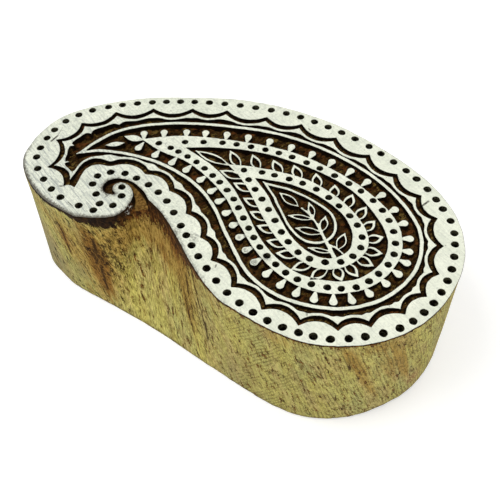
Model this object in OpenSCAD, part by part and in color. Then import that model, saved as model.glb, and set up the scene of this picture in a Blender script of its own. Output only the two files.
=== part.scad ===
// Hand printing block for textiles: a paisley carved on the end of a wooden billet.
// The printing face looks up, the sawn back rests on z = 0, and +X runs to the round head.
// The white ground coat was brushed on before carving, so it survives only on the
// uncut wood: one island of coat lies on each carved ridge.

/* [Block] */
// Length of the block from the curl to the round head
block_l = 127; // [105:1:150]
// Width of the block across the printing face
block_w = 72; // [60:1:86]
// Height from the back to the printing face
block_h = 40; // [25:1:60]

/* [Carving] */
// Depth of the cut ground below the printing face
relief = 2; // [1.5:0.25:4]
// Depth of the two grooves beside the scalloped line
groove_depth = 1.5; // [1:0.25:3]
// Depth of the chiselled notch beside the curl
notch_depth = 5; // [3:0.5:9]
// Thickness of the white ground coat
coat_t = 0.3; // [0.2:0.05:0.6]

/* [Scalloped rim] */
// Rise of each scallop, as a share of its chord
scallop_rise = 0.2; // [0.12:0.01:0.24]
// Width of the groove inside the rim
groove_w = 1.7; // [1.2:0.1:2]
// Width of the scalloped line at the middle of a scallop
line_w = 0.9; // [0.6:0.1:1.2]
// Extra width of the scalloped line where two scallops meet
diamond_h = 1.6; // [0.8:0.1:1.9]

/* [Paisley] */
// Width of the plain paisley line
paisley_w = 1.1; // [0.7:0.1:1.4]
// Width of the plain drop line round the sprig
drop_line_w = 0.8; // [0.6:0.1:1.2]

/* [Dots] */
// Drill for the dots of the rim
rim_dot_d = 2.1; // [1.4:0.1:2.4]
// Drill for the dots of the two bands
band_dot_d = 1.9; // [1.2:0.1:2.2]
// Depth of every drilled dot below the printing face
dot_depth = 4; // [1.5:0.25:8]

/* [Beads and leaves] */
// Radius of a bead's head
bead_r = 1.15; // [0.7:0.05:1.3]
// Width of a bead's stem at its end
bead_stem = 0.4; // [0.3:0.1:1]
// Width of a leaf on the inner band
leaf_w = 3.2; // [2:0.1:3.4]
// Width of the line that draws a leaf
leaf_line = 0.65; // [0.45:0.05:0.8]
// Width of the sprig's stem at its foot
stem_w = 1.5; // [0.9:0.1:2]

/* [Hidden] */

wood = "#b39a5e";
white = "#e3e7dc";
$fn = 32;

// The layout below is drawn for a block of this size and stretches with the block
layout_l = 127;
layout_w = 72;
// Points between two chosen points of a curve
steps = 5;
// Points along one scallop
scallop_steps = 6;
// Points along one side of a leaf
leaf_steps = 5;
// Points round a bead's head
head_steps = 6;
// How far a leaf is rooted in its band
leaf_root = 1.8;
// Length of a bead's stem, which is rooted in its band
stem_l = 2.8;
// How fast a diamond narrows to the line
diamond_sharpness = 4;
// Diamonds of the tail, left of this place, are larger and broader
tail_x = -46;
tail_growth = 2;
tail_sharpness = 3;
// Number of the scallop that swells round the curl, its rise and how far it leans
curl_scallop = 16;
curl_rise = 0.32;
curl_lean = 1.35;
// How far a cut runs past the face it opens
past = 1;
// How far the notch's cut runs out in front of the block
notch_out = 20;
// How far the foot of the notch lies in front of the sawn side
notch_foot = 0.4;

// Sawn outline, from the round head over the back to the curl and along the front
saw_points = [
    [63.5, -2], [62.3, 8], [57, 18], [48.5, 25.5], [38, 30.5], [25, 34], [10, 36], [-6, 34.8],
    [-20.2, 30.9], [-32.3, 24.9], [-44.3, 17.9], [-54.5, 9], [-61.3, 0], [-63.5, -8.5], [-62, -16.5],
    [-58.5, -23.5], [-51.5, -28.8], [-43.5, -31.3], [-32, -31.8], [-15, -32.5], [2, -34],
    [15, -35.1], [28, -36], [38.4, -35], [47.8, -30.8], [55.4, -24.3], [60.5, -16.5], [62.8, -9.5]
];
// Edge of the curl beside the notch, from the front to the mouth of the slot
curl_points = [[-38, -33], [-33, -31.2], [-28.5, -29], [-25, -26.3], [-23.7, -23], [-24, -19.2]];
// Edge of the body beside the notch, from the mouth of the slot to the front
body_points = [
    [-20.6, -16.4], [-14, -18.9], [-7, -23], [0, -27.7], [6, -31.2], [11, -33.7], [17, -35.5],
    [24, -36.3]
];
// Ends of the notch's foot on the sawn front
notch_foot_points = [[-38, -32], [24, -36]];
// Slot that winds into the curl, from the body's corner round to the curl's corner
slot_points = [
    [-20.6, -16.4], [-23, -14.9], [-26.5, -13.7], [-29.5, -13.5], [-32.4, -14.5], [-34.2, -16.6],
    [-34, -19], [-32.2, -20.4], [-29.6, -19.6], [-31.2, -18.5], [-31.9, -16.8], [-30.6, -15.1],
    [-28, -14.9], [-25.2, -16.8], [-24, -19.2]
];
// Two points of the slot that lie inside the notch
slot_mouth = [[-22.5, -20.5], [-19.5, -19]];
// Points where two scallops of the rim meet
cusps = [
    [58.5, 0], [56, 9], [51, 17], [44, 22.5], [35, 26.5], [25, 29.5], [13.5, 31], [2, 31],
    [-8.5, 28.5], [-20.5, 25], [-30, 20.5], [-40.5, 14.5], [-49.5, 7.5], [-55.5, -1.5],
    [-57.5, -11], [-52.5, -21], [-42.9, -23.6], [-37, -11.5], [-26.5, -9], [-17, -11], [-8.5, -15.5],
    [-0.5, -20.5], [6, -25.5], [15, -30], [25, -32], [35, -31.5], [44, -28], [50.5, -23],
    [56, -15.5], [58.5, -8]
];
// Corners of the groove's square end beside the curl, where the line has one cusp
groove_end = [[-43.8, -24.4], [-40.9, -23.2]];
// Middle of the paisley line, from its pointed tail along the front
paisley_points = [
    [-48, -11.5], [-43, -7.8], [-34, -4.7], [-24, -3.5], [-13, -5], [-4, -9.2], [6, -17], [16, -24],
    [25, -26.3], [34, -25.2], [42.5, -21.4], [49, -14.8], [52.3, -6.5], [52.5, 1], [50, 8.5],
    [45, 14.2], [37, 19.3], [27, 23], [16, 24.8], [5, 24.8], [-5, 23.2], [-15, 19.9], [-25, 15.7],
    [-33, 11.2], [-40, 5.7], [-44.5, 0], [-46.8, -6]
];
// Outer edge of the outer dotted band, from its tail along the front
outer_points = [
    [-36, 1.8], [-28, 0.6], [-19, 0.7], [-10, -1.7], [-2, -5.5], [6, -11.5], [13, -16.3],
    [21, -20], [29, -21.3], [37, -19.6], [43.5, -14.7], [47, -8.5], [47.9, -1], [46, 5.5],
    [41.5, 11], [34, 15.2], [25, 18], [14, 19.5], [3, 19.1], [-8, 16.3], [-19, 12.4], [-28, 8]
];
// Inner edge of the outer dotted band
outer_inside_points = [
    [-22.5, 5.5], [-12, 3.3], [-3, -0.6], [5, -6.2], [12, -11.7], [19, -15.7], [27, -17.7],
    [35, -16], [41, -12], [44, -5.5], [43.8, 0.5], [41, 5.5], [35, 10.4], [27, 14.4], [17, 16.2],
    [6, 15.9], [-4, 14.2], [-14, 10.3]
];
// Outer edge of the inner dotted band
inner_points = [
    [-8.5, 5.8], [-3, 3.4], [4, -1.3], [11, -6.8], [18, -11.2], [25, -13.8], [31, -14], [36, -11],
    [39, -5.5], [39.2, -1], [37, 3], [32.5, 6.7], [25, 10.2], [15, 12], [5, 10.6], [-3, 8.2]
];
// Inner edge of the inner dotted band
inner_inside_points = [
    [1, 5.2], [7, 1.7], [14, -3.8], [21, -8.5], [28, -10.5], [33, -8.9], [35.2, -4], [33, 1.5],
    [28, 5.6], [20, 8], [11, 8]
];
// Middle of the drop line round the sprig
drop_points = [
    [4.5, 4.9], [9, 1.9], [14, -2.3], [19, -6], [23.5, -7.5], [27.5, -6.3], [29.4, -2.5],
    [28.3, 1.5], [25, 4.4], [19, 5.9], [12, 6.2]
];
// Rows of dots and beads: some chosen places, each with the number of steps to the next,
// because the carver spaced them by eye
// Dots of the rim, from the head of the curl round the block and back into the curl
rim_row = [
    [-29.4, -16.5, 1], [-27.4, -19.2, 1], [-27.4, -23.2, 1], [-31, -27.3, 1], [-35.5, -28, 1],
    [-41.8, -28.1, 2], [-50.4, -25.2, 2], [-57.9, -19.4, 3], [-60.7, -8, 2], [-58.5, 0.8, 2],
    [-52.8, 8.2, 3], [-42.3, 16.6, 3], [-31.2, 23.3, 3], [-18.2, 28.8, 3], [-4.3, 32.8, 3],
    [9.4, 33.8, 3], [23.4, 32.5, 4], [40.4, 27.5, 3], [51, 20.8, 2], [56.8, 14.4, 3], [60.6, 3, 3],
    [60.7, -8.9, 3], [56.5, -19.8, 3], [47.2, -28.7, 2], [39.6, -32.4, 3], [27.8, -34.1, 3],
    [15, -32, 3], [2.5, -26.1, 3], [-7.2, -19.8, 2], [-15.5, -14.5, 2], [-23.4, -12, 2],
    [-31.7, -11.8, 1], [-35.5, -13.5, 1], [-37.9, -16.5, 1], [-37.2, -19.7, 1], [-34, -22.2, 1],
    [-31, -24.5, 1]
];
// Dots of the outer band, from its tail along the front and back
outer_row = [
    [-30.4, 3, 1], [-26.3, 3.2, 3], [-16.6, 2.1, 3], [-6.7, -1.2, 2], [0.1, -4.6, 3], [8.9, -11.4, 3],
    [17.8, -17, 3], [28.2, -19.6, 3], [39.1, -16.6, 2], [44.1, -11, 3], [46, 0, 3], [40.1, 9.8, 3],
    [29, 15.6, 4], [10.8, 17.7, 3], [-2, 16.3, 3], [-14.3, 12.5, 2], [-24, 7.2, 1]
];
// Dots of the inner band, from its tail along the front and back
inner_row = [
    [-0.1, 3.7, 3], [10.2, -3, 3], [20.3, -10.2, 2], [27.8, -12.3, 2], [35.2, -9.1, 2],
    [37.6, -2.3, 2], [33.5, 4.1, 3], [22.4, 9, 2], [13.6, 10.1, 3], [1.7, 8, 1], [-3.2, 6.2, 1]
];
// Heads of the beads, from the outer band's tail along the front and back
bead_row = [
    [-34.5, -1.6, 3], [-17.5, -2, 2], [-7, -5.3, 3], [4.7, -12.6, 3], [16, -20.4, 3], [30, -23.6, 3],
    [43, -18.4, 3], [49.6, -5.2, 2], [49, 2.8, 2], [44, 11, 3], [29, 19.8, 3], [10.5, 21.7, 3],
    [-9, 18.4, 3], [-26, 11, 2], [-36.6, 4.2, 1]
];
// Leaves on the inner band: foot and tip, from its tail along the front and back
band_leaves = [
    [[-3.2, 3.2], [-9.2, 2.6]], [[1.8, 0.6], [-3.4, 0.5]], [[6.6, -2.9], [2, -2.9]],
    [[10.8, -6.2], [6, -6.2]], [[14.9, -8.8], [10.2, -9.6]], [[19.4, -11.6], [15, -12.7]],
    [[23.4, -13.3], [19.2, -15.1]], [[28.3, -14.1], [25.2, -17.7]], [[32.6, -13.8], [31, -18.2]],
    [[35.7, -12.2], [38.3, -14.4]], [[37.5, -9.5], [41.3, -11.1]], [[39, -5.9], [43.2, -6]],
    [[39.4, -2.5], [43.5, -1.2]], [[38.5, 1.2], [41.3, 4]], [[35.9, 4.2], [37, 8]],
    [[32.4, 6.9], [32.8, 11.4]], [[28, 9], [27.5, 13.6]], [[23.1, 10.7], [21.6, 14.3]],
    [[17.5, 11.7], [14.9, 15.5]], [[11.5, 11.7], [8, 15.2]], [[5.9, 10.7], [1.9, 14]],
    [[-0.5, 9.2], [-4.4, 12.9]], [[-5.8, 7.2], [-10.8, 11]]
];
// Stem of the sprig from its foot on the inner band, and the twig under its right leaf
stem_points = [[34, -9.5], [31, -6.8], [28, -4.4], [25, -1.8], [21.5, 0.6], [17.5, 2]];
twig_points = [[29.5, -5.4], [32.5, -5.8], [36, -7]];
// Leaves of the sprig: foot, tip and width as a share of the length
sprig_leaves = [
    [[17, 2], [9.6, 3.8], 0.4], [[22.2, 0.7], [18.3, 4.9], 0.38], [[22.5, 0], [15.6, -2.3], 0.3],
    [[26.5, -2.7], [24.6, 2.9], 0.44], [[27, -3.2], [19.4, -5.2], 0.36],
    [[32.8, -6.2], [31.9, 0.2], 0.46], [[32, -7.7], [25.5, -9.3], 0.28]
];
// Leaf that carries on the tail of the inner band: foot, tip and width as a share of the length
tail_leaf = [[-7.5, 5.8], [-19.5, 5.8], 0.27];
// Solid drops in the tail of the paisley: foot, tip and width as a share of the length
tail_drops = [[[-35, 1.8], [-41, 0.3], 0.42], [[-39.2, -1.8], [-43.5, -5.6], 0.33]];

function unit(v) = v / norm(v);
function left_of(v) = [-v.y, v.x];
function place(p) = [p.x * block_l / layout_l, p.y * block_w / layout_w];
function placed(points) = [for (p = points) place(p)];

// Point at t between b and c on a smooth curve through a, b, c and d
function between(a, b, c, d, t) =
    b + (c - a) * t / 2 + (2 * a - 5 * b + 4 * c - d) * t * t / 2
    + (3 * b - a - 3 * c + d) * t * t * t / 2;

// Smooth open curve through all points
function open_curve(p) =
    let (last = len(p) - 1)
    concat(
        [for (i = [0 : last - 1], k = [0 : steps - 1])
            between(
                i > 0 ? p[i - 1] : 2 * p[0] - p[1], p[i], p[i + 1],
                i + 1 < last ? p[i + 2] : 2 * p[last] - p[last - 1], k / steps
            )],
        [p[last]]
    );

// Smooth closed curve through all points
function loop_curve(p) =
    let (n = len(p))
    [for (i = [0 : n - 1], k = [0 : steps - 1])
        between(p[(i + n - 1) % n], p[i], p[(i + 1) % n], p[(i + 2) % n], k / steps)];

// List that comes back to its first point
function closed(p) = concat(p, [p[0]]);

// Closed curve that is sharp at its first point
function pointed_curve(p) =
    let (c = open_curve(closed(p)))
    [for (i = [0 : len(c) - 2]) c[i]];

// Closed curve moved inwards by d, with corners drawn out up to a limit
function inset(c, d) =
    let (n = len(c), sharpest = 0.4)
    [for (i = [0 : n - 1])
        let (
            before = left_of(unit(c[i] - c[(i + n - 1) % n])),
            after = left_of(unit(c[(i + 1) % n] - c[i])),
            way = unit(before + after)
        )
        c[i] + way * d / max(way * before, sharpest)];

// Scallops that swell inwards between the points of p, one of them taller and leaning on
function scalloped(p, tall) =
    let (n = len(p))
    [for (i = [0 : n - 1], k = [0 : scallop_steps - 1])
        let (
            t = k / scallop_steps,
            s = i == tall ? pow(t, curl_lean) : t,
            rise = i == tall ? curl_rise : scallop_rise,
            chord = p[(i + 1) % n] - p[i]
        )
        p[i] + chord * t + left_of(chord) * rise * 4 * s * (1 - s)];

// Inner edge of the scalloped line, which swells to a diamond at each cusp of p
function diamond_edge(p, edge) =
    let (n = len(p), ways = inset(p, 1) - p)
    [for (i = [0 : n - 1], k = [0 : scallop_steps - 1])
        let (
            j = 2 * k < scallop_steps ? i : (i + 1) % n,
            tail = p[j].x < place([tail_x, 0]).x,
            share = pow(abs(2 * k / scallop_steps - 1), tail ? tail_sharpness : diamond_sharpness),
            across = left_of(unit(p[(i + 1) % n] - p[i])),
            diamond = diamond_h * (tail ? tail_growth : 1)
        )
        edge[i * scallop_steps + k]
            + (across * (1 - share) + ways[j] * share) * (line_w + diamond * share)];

// All places of a row
function row(chosen) =
    let (last = len(chosen) - 1, p = placed(chosen))
    concat(
        [for (i = [0 : last - 1], k = [0 : chosen[i][2] - 1])
            between(
                i > 0 ? p[i - 1] : 2 * p[0] - p[1], p[i], p[i + 1],
                i + 1 < last ? p[i + 2] : 2 * p[last] - p[last - 1], k / chosen[i][2]
            )],
        [p[last]]
    );

// Direction to the right of a row at each of its places
function outwards(places) =
    let (last = len(places) - 1)
    [for (i = [0 : last]) -left_of(unit(places[min(i + 1, last)] - places[max(i - 1, 0)]))];

// Width of a listed leaf
function width_of(leaf) = leaf[2] * norm(place(leaf[1] - leaf[0]));

// Pointed lens from foot to tip
function lens(foot, tip, w) =
    let (side = left_of(unit(tip - foot)) * w / 2, n = leaf_steps)
    concat(
        [for (k = [0 : n]) foot + (tip - foot) * k / n - side * sin(180 * k / n)],
        [for (k = [n - 1 : -1 : 1]) foot + (tip - foot) * k / n + side * sin(180 * k / n)]
    );

// Drop with a round head and a stem that runs back from it
function drop(head, way) =
    let (side = left_of(way), back = 130)
    concat(
        [for (k = [0 : head_steps])
            let (a = back * (2 * k / head_steps - 1))
            head + bead_r * (way * cos(a) + side * sin(a))],
        [for (end = [1, -1]) head - way * stem_l + side * end * bead_stem / 2]
    );

// Outline of a stroke along an open curve, tapering from one width to another
function stroke(c, w_start, w_end) =
    let (
        last = len(c) - 1,
        ways = [for (i = [0 : last]) left_of(unit(c[min(i + 1, last)] - c[max(i - 1, 0)]))],
        half = [for (i = [0 : last]) (w_start + (w_end - w_start) * i / last) / 2]
    )
    concat(
        [for (i = [0 : last]) c[i] - ways[i] * half[i]],
        [for (i = [last : -1 : 0]) c[i] + ways[i] * half[i]]
    );

saw_edge = loop_curve(placed(saw_points));
curl_edge = open_curve(placed(curl_points));
body_edge = open_curve(placed(body_points));
slot_edge = concat(open_curve(placed(slot_points)), placed(slot_mouth));
line_cusps = inset(placed(cusps), groove_w);
rim_cusps = placed(concat(
    [for (i = [0 : curl_scallop - 1]) cusps[i]],
    groove_end,
    [for (i = [curl_scallop + 1 : len(cusps) - 1]) cusps[i]]
));
rim_edge = scalloped(rim_cusps, curl_scallop + 1);
line_edge = scalloped(line_cusps, curl_scallop);
line_inside = diamond_edge(line_cusps, line_edge);
paisley_outside = pointed_curve(inset(placed(paisley_points), -paisley_w / 2));
paisley_inside = pointed_curve(inset(placed(paisley_points), paisley_w / 2));
outer_edge = pointed_curve(placed(outer_points));
outer_inside = pointed_curve(placed(outer_inside_points));
inner_edge = pointed_curve(placed(inner_points));
inner_inside = pointed_curve(placed(inner_inside_points));
drop_outside = pointed_curve(inset(placed(drop_points), -drop_line_w / 2));
drop_inside = pointed_curve(inset(placed(drop_points), drop_line_w / 2));

face_z = block_h - coat_t;

module ring(outside, inside) {
    n = len(outside);
    polygon(
        concat(outside, inside),
        [[for (i = [0 : n - 1]) i], [for (i = [0 : len(inside) - 1]) n + i]]
    );
}

// Leaf drawn by its outline, open inside
module open_leaf(foot, tip, w) {
    way = unit(tip - foot);
    ring(lens(foot, tip, w), lens(foot + way * leaf_line, tip - way * 2 * leaf_line, w - 2 * leaf_line));
}

module notch_shape() {
    front = -block_w / 2 - notch_out;
    corners = [[body_edge[len(body_edge) - 1].x, front], [curl_edge[0].x, front]];
    polygon(concat(curl_edge, body_edge, corners));
}

module rim_shape() {
    difference() {
        polygon(saw_edge);
        notch_shape();
        polygon(slot_edge);
        polygon(rim_edge);
    }
}

module bead_shapes() {
    difference() {
        union() {
            heads = row(bead_row);
            ways = outwards(heads);
            for (i = [0 : len(heads) - 1]) polygon(drop(heads[i], ways[i]));
            for (leaf = tail_drops) polygon(lens(place(leaf[0]), place(leaf[1]), width_of(leaf)));
        }
        polygon(outer_edge);
    }
}

module leaf_shapes() {
    difference() {
        union() {
            for (leaf = band_leaves) {
                foot = place(leaf[0]);
                tip = place(leaf[1]);
                open_leaf(foot - unit(tip - foot) * leaf_root, tip, leaf_w);
            }
            open_leaf(place(tail_leaf[0]), place(tail_leaf[1]), width_of(tail_leaf));
        }
        polygon(inner_edge);
    }
}

module drop_line_shape() {
    ring(drop_outside, drop_inside);
}

module sprig_shape() {
    polygon(stroke(open_curve(placed(stem_points)), stem_w, leaf_line));
    polygon(stroke(open_curve(placed(twig_points)), leaf_line, leaf_line));
    for (leaf = sprig_leaves) open_leaf(place(leaf[0]), place(leaf[1]), width_of(leaf));
}

// Ground that is cut away between two ridges, round the beads and leaves that stand on it
module bead_ground_shape() {
    difference() {
        ring(paisley_inside, outer_edge);
        bead_shapes();
    }
}

module leaf_ground_shape() {
    difference() {
        ring(outer_inside, inner_edge);
        leaf_shapes();
    }
}

module sprig_ground_shape() {
    difference() {
        polygon(inner_inside);
        drop_line_shape();
        sprig_shape();
    }
}

module dot_shapes(chosen, d) {
    for (p = row(chosen)) translate(p) circle(d = d);
}

// Cut of the notch: upright beside the face, then running out to nothing at the sawn back
module notch_cut() {
    knee = concat(curl_edge, body_edge);
    last = len(knee) - 1;
    front = -block_w / 2 - notch_out;
    from = place(notch_foot_points[0]) - [0, notch_foot];
    to = place(notch_foot_points[1]) - [0, notch_foot];
    foot = [for (i = [0 : last]) from + (to - from) * i / last];
    outside = [[to.x, front], [body_edge[steps].x, front], [from.x, front]];
    levels = [
        for (p = concat(foot, outside)) [p.x, p.y, -past],
        for (p = concat(knee, outside)) [p.x, p.y, block_h - notch_depth],
        for (p = concat(knee, outside)) [p.x, p.y, block_h + past]
    ];
    n = len(levels) / 3;
    fan = n - 2;
    polyhedron(levels, concat(
        [[for (i = [0 : n - 1]) (fan + n - i) % n]],
        [[for (i = [0 : n - 1]) 2 * n + (fan + i) % n]],
        [for (row = [0, n], i = [0 : n - 1])
            let (j = (i + 1) % n)
            each [[row + i, row + n + j, row + n + i], [row + i, row + j, row + n + j]]]
    ));
}

module coat() {
    color(white) translate([0, 0, face_z]) linear_extrude(coat_t) children();
}

// Cut from the printing face down to a depth
module cut(depth) {
    translate([0, 0, block_h - depth]) linear_extrude(depth + past) children();
}

module sawn_block() {
    difference() {
        linear_extrude(face_z) polygon(saw_edge);
        notch_cut();
        cut(relief) polygon(slot_edge);
    }
}

// Block with the plain grooves cut on both sides of the scalloped line
module grooved_block() {
    difference() {
        sawn_block();
        cut(groove_depth) ring(rim_edge, line_edge);
        cut(groove_depth) ring(line_inside, paisley_outside);
    }
}

module carved_block() {
    color(wood) difference() {
        difference() {
            grooved_block();
            cut(relief) bead_ground_shape();
            cut(relief) leaf_ground_shape();
            cut(relief) sprig_ground_shape();
        }
        cut(dot_depth) {
            dot_shapes(rim_row, rim_dot_d);
            dot_shapes(outer_row, band_dot_d);
            dot_shapes(inner_row, band_dot_d);
        }
    }
}

module rim_coat() {
    coat() difference() {
        rim_shape();
        dot_shapes(rim_row, rim_dot_d);
    }
}

module scalloped_line_coat() {
    coat() ring(line_edge, line_inside);
}

module paisley_line_coat() {
    coat() ring(paisley_outside, paisley_inside);
}

module bead_coats() {
    coat() bead_shapes();
}

module outer_band_coat() {
    coat() difference() {
        ring(outer_edge, outer_inside);
        dot_shapes(outer_row, band_dot_d);
    }
}

module leaf_coats() {
    coat() leaf_shapes();
}

module inner_band_coat() {
    coat() difference() {
        ring(inner_edge, inner_inside);
        dot_shapes(inner_row, band_dot_d);
    }
}

module drop_line_coat() {
    coat() drop_line_shape();
}

module sprig_coat() {
    coat() difference() {
        intersection() {
            sprig_shape();
            polygon(inner_inside);
        }
        drop_line_shape();
    }
}

carved_block();
rim_coat();
scalloped_line_coat();
paisley_line_coat();
bead_coats();
outer_band_coat();
leaf_coats();
inner_band_coat();
drop_line_coat();
sprig_coat();
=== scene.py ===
"""Hand printing block for textiles: a paisley carved on a wooden billet, with white coat on the ridges.

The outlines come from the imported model. Lengths are millimetres, but metres in meshes, lamps and the camera.
"""
import math
import random

import bpy
import numpy as np
from mathutils import Matrix, Vector, noise
from mathutils.bvhtree import BVHTree
from mathutils.geometry import delaunay_2d_cdt
from mathutils.kdtree import KDTree


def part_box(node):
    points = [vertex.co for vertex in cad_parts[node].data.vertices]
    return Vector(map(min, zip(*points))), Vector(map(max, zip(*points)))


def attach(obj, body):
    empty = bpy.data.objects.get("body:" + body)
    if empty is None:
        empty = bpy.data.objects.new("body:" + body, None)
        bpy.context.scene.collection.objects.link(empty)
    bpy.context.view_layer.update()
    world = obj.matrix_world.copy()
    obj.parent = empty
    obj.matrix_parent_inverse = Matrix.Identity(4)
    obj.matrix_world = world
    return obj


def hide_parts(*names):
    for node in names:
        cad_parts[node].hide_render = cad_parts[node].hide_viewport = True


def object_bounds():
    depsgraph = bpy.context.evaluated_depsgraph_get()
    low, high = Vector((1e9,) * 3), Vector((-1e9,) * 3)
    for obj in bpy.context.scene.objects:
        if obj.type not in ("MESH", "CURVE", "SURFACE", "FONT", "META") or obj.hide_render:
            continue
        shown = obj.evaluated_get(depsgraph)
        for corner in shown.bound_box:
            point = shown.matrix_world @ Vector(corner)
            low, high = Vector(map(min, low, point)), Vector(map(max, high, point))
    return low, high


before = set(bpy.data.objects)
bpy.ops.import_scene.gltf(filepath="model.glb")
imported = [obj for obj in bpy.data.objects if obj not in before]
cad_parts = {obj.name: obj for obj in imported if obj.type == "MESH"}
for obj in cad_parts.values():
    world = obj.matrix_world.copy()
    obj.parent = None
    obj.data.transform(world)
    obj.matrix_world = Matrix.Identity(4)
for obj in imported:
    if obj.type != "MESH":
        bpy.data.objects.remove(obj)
cad_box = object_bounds()
MM = 0.001
SEED = 11
rng = random.Random(SEED)
noise.seed_set(SEED)

COATS = [
    "rim_coat", "scalloped_line_coat", "paisley_line_coat", "bead_coats", "outer_band_coat",
    "leaf_coats", "inner_band_coat", "drop_line_coat", "sprig_coat",
]
LOW = np.array(cad_box[0])[:2] / MM
HIGH = np.array(cad_box[1])[:2] / MM

# Heights: the lower edge is rounded, and the knee ends the upright strip below the notch
EDGE_ROUND = 1.0
FACE_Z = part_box("rim_coat")[1].z / MM
RIDGE_Z = FACE_Z - 0.15
DOT_Z = FACE_Z - 4.0
SLOT_Z = FACE_Z - 4.4
KNEE_Z = FACE_Z - 5.0

# Steps between the points of a mesh
RIDGE_STEP = 0.36
RIM_STEP = 0.42
BACK_STEP = 0.6
GROUND_STEP = 0.46
GROUND_SCATTER = 0.16
BRUSH_STEP = 0.7
BRUSH_SCATTER = 0.2
DOT_SIDES = 18

# What counts as a sharp corner, in degrees, and as a drilled dot
SHARP_TURN = 50
SHORTEST_STEP = 0.03
DOT_LEAST_AREA = 2
DOT_MOST_AREA = 5
DOT_ROUNDNESS = 0.96

# Carving: how deep the chisel goes, and how the slot falls towards its mouth
DEEPEST = 2.0
SHALLOWEST = 0.45
DEPTH_PER_WIDTH = 0.4
SIGHT = 9.0
SLOT_DROP = 2.4
SLOT_LONG = 8

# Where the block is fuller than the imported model, left of the curl
FULL_CORNER = (-60.5, -20)
FULL_WAY = (-0.85, -0.53)
FULL_SHOULDER = (-60.5, -19.5)
FULL_BASE = (-56, -27)

# Height of each ring up the coat's edge, its inset and whether wear adds to that
COAT_EDGE = [
    (RIDGE_Z - 0.06, 0.08, 0), (FACE_Z - 0.09, 0.09, 0), (FACE_Z - 0.025, 0.14, 1), (FACE_Z, 0.2, 1),
]
COAT_WEAR = 0.10
DOT_WEAR = 0.25
SPRIG_THINNER = 0.12
SCALLOP_TAIL = (-42.3, -22.6)

# Kinds of face on the wood, in the order of their materials
SIDE, CARVED, BACK = 0, 1, 2


# Small tools

def area(loop):
    """Area of a loop, above 0 where it runs anticlockwise."""
    x, y = loop[:, 0], loop[:, 1]
    return 0.5 * np.sum(x * np.roll(y, -1) - np.roll(x, -1) * y)


def steps(loop):
    """Lengths of a closed loop's steps."""
    return np.linalg.norm(np.roll(loop, -1, axis=0) - loop, axis=1)


def normals(loop):
    """Unit directions to the right of a loop, away from the ridge on its left."""
    d = np.roll(loop, -1, axis=0) - np.roll(loop, 1, axis=0)
    d /= np.maximum(np.linalg.norm(d, axis=1), 1e-9)[:, None]
    return np.stack([d[:, 1], -d[:, 0]], axis=1)


def filled(loop, parts):
    """The loop with each of its steps split into equal parts."""
    ahead = np.roll(loop, -1, axis=0)
    return np.vstack([loop + (ahead - loop) * k / parts for k in range(parts)])


def closed(numbers):
    """Edges round a closed ring of numbers."""
    return list(zip(numbers, numbers[1:] + numbers[:1]))


def band(low, high):
    """Faces between two closed rings."""
    return [(a, b, d, c) for (a, b), (c, d) in zip(closed(low), closed(high))]


def put_in(points, more):
    """Add points to a list, and give their numbers."""
    first = len(points)
    points += more
    return list(range(first, len(points)))


def hill(value, middle, half):
    """A bell curve: 1 at the middle, about a third at half away."""
    return math.exp(-((value - middle) / half) ** 2)


def step_up(value, low, high):
    """0 below low, 1 above high, smooth between."""
    t = min(1.0, max(0.0, (value - low) / (high - low)))
    return t * t * (3 - 2 * t)


def uneven(x, y, z):
    """Smooth noise between -1 and 1. On a flat shape z only picks the pattern."""
    return noise.noise(Vector((x, y, z)))


def lookup(points):
    """Tree that finds the nearest of some points on the face."""
    tree = KDTree(len(points))
    for i, p in enumerate(points):
        tree.insert((p[0], p[1], 0), i)
    tree.balance()
    return tree


def distance(tree, p):
    """Distance to the nearest point in a lookup."""
    return tree.find((p[0], p[1], 0))[2]


def scattered(x, y, reach):
    """A place moved a little at random."""
    return x + rng.uniform(-reach, reach), y + rng.uniform(-reach, reach)


def walls(loops):
    """Upright walls along the loops, for rays to hit."""
    verts, faces = [], []
    for loop in loops:
        feet = list(range(len(verts), len(verts) + 2 * len(loop), 2))
        verts += [(x, y, z) for x, y in loop for z in (-1.0, 1.0)]
        faces += [(a, b, b + 1, a + 1) for a, b in closed(feet)]
    return BVHTree.FromPolygons(verts, faces)


def room(tree, loop, ways, far):
    """Free length from each point of the loop along its way."""
    off = 0.02
    free = []
    for p, w in zip(loop, ways):
        start = p + w * off
        hit = tree.ray_cast(Vector((start[0], start[1], 0)), Vector((w[0], w[1], 0)), far)
        free.append(far if hit[3] is None else hit[3] + off)
    return np.array(free)


def inside(points, loops):
    """Whether each point lies within an odd number of loops."""
    x, y = points[:, 0], points[:, 1]
    odd = np.zeros(len(points), dtype=bool)
    for loop in loops:
        lo, hi = loop.min(axis=0), loop.max(axis=0)
        near = np.nonzero((y >= lo[1]) & (y <= hi[1]) & (x <= hi[0]))[0]
        if not len(near):
            continue
        a, b = loop, np.roll(loop, -1, axis=0)
        px, py = x[near][:, None], y[near][:, None]
        crosses = (a[:, 1] > py) != (b[:, 1] > py)
        rise = np.where(b[:, 1] == a[:, 1], 1e-12, b[:, 1] - a[:, 1])
        at = a[:, 0] + (py - a[:, 1]) / rise * (b[:, 0] - a[:, 0])
        odd[near] ^= (np.sum(crosses & (px < at), axis=1) % 2).astype(bool)
    return odd


def near_line(points, line):
    """Distance of each point from a closed line."""
    a, b = line, np.roll(line, -1, axis=0)
    d = b - a
    sq = np.maximum(np.sum(d * d, axis=1), 1e-12)
    out = []
    for p in points:
        t = np.clip(np.sum((p - a) * d, axis=1) / sq, 0, 1)
        out.append(np.min(np.linalg.norm(a + d * t[:, None] - p, axis=1)))
    return np.array(out)


def triangulated(points, edges):
    """Points and triangles inside the edges, and which given point each was, or -1."""
    found = delaunay_2d_cdt([Vector(p) for p in points], edges, [], 1, 1e-5)
    origin = [o[0] if o else -1 for o in found[3]]
    return np.array([v[:] for v in found[0]]), np.array(found[2]), origin


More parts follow.
